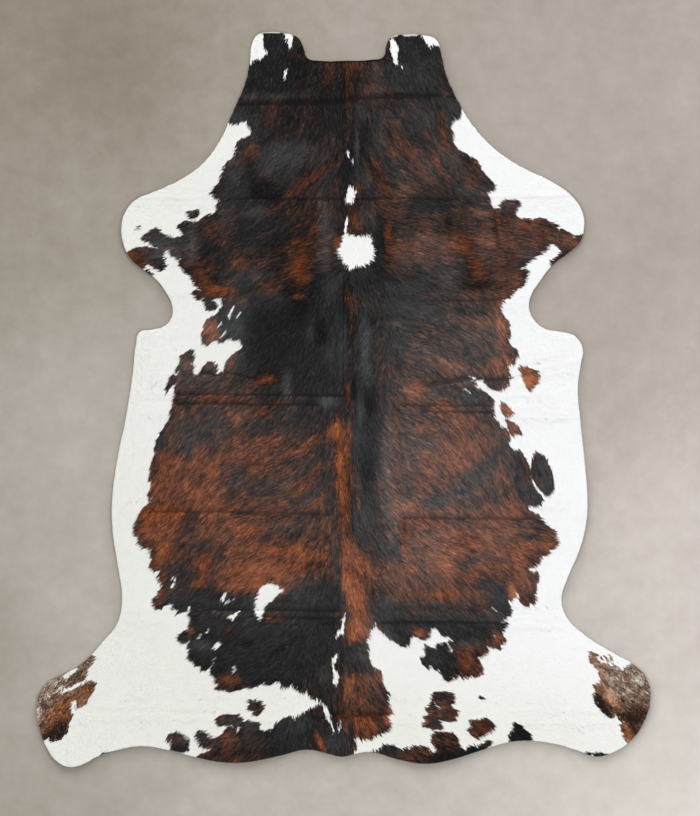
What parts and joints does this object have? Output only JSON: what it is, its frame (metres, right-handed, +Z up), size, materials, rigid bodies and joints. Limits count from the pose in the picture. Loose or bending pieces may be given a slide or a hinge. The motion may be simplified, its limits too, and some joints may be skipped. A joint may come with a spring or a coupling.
{
  "type": "cowhide rug",
  "caption": "Whole brindle and white cowhide rug lying flat, hair side up, cut to its natural outline with neck, forelegs, flanks and hind legs.",
  "frame": {"origin": "on the floor, under the middle of the hide's outline", "axes": "+X to the right of someone looking down with the neck on top, +Y towards the neck, +Z up, out of the hair side"},
  "size_m": [2.004, 2.4012, 0.0109],
  "materials": {
    "brindle_coat": "short glossy hair lying flat on leather, brindle brown and black with white edges; pale suede underneath"
  },
  "bodies": {
    "root": {"hide": "brindle_coat"}
  },
  "joints": []
}
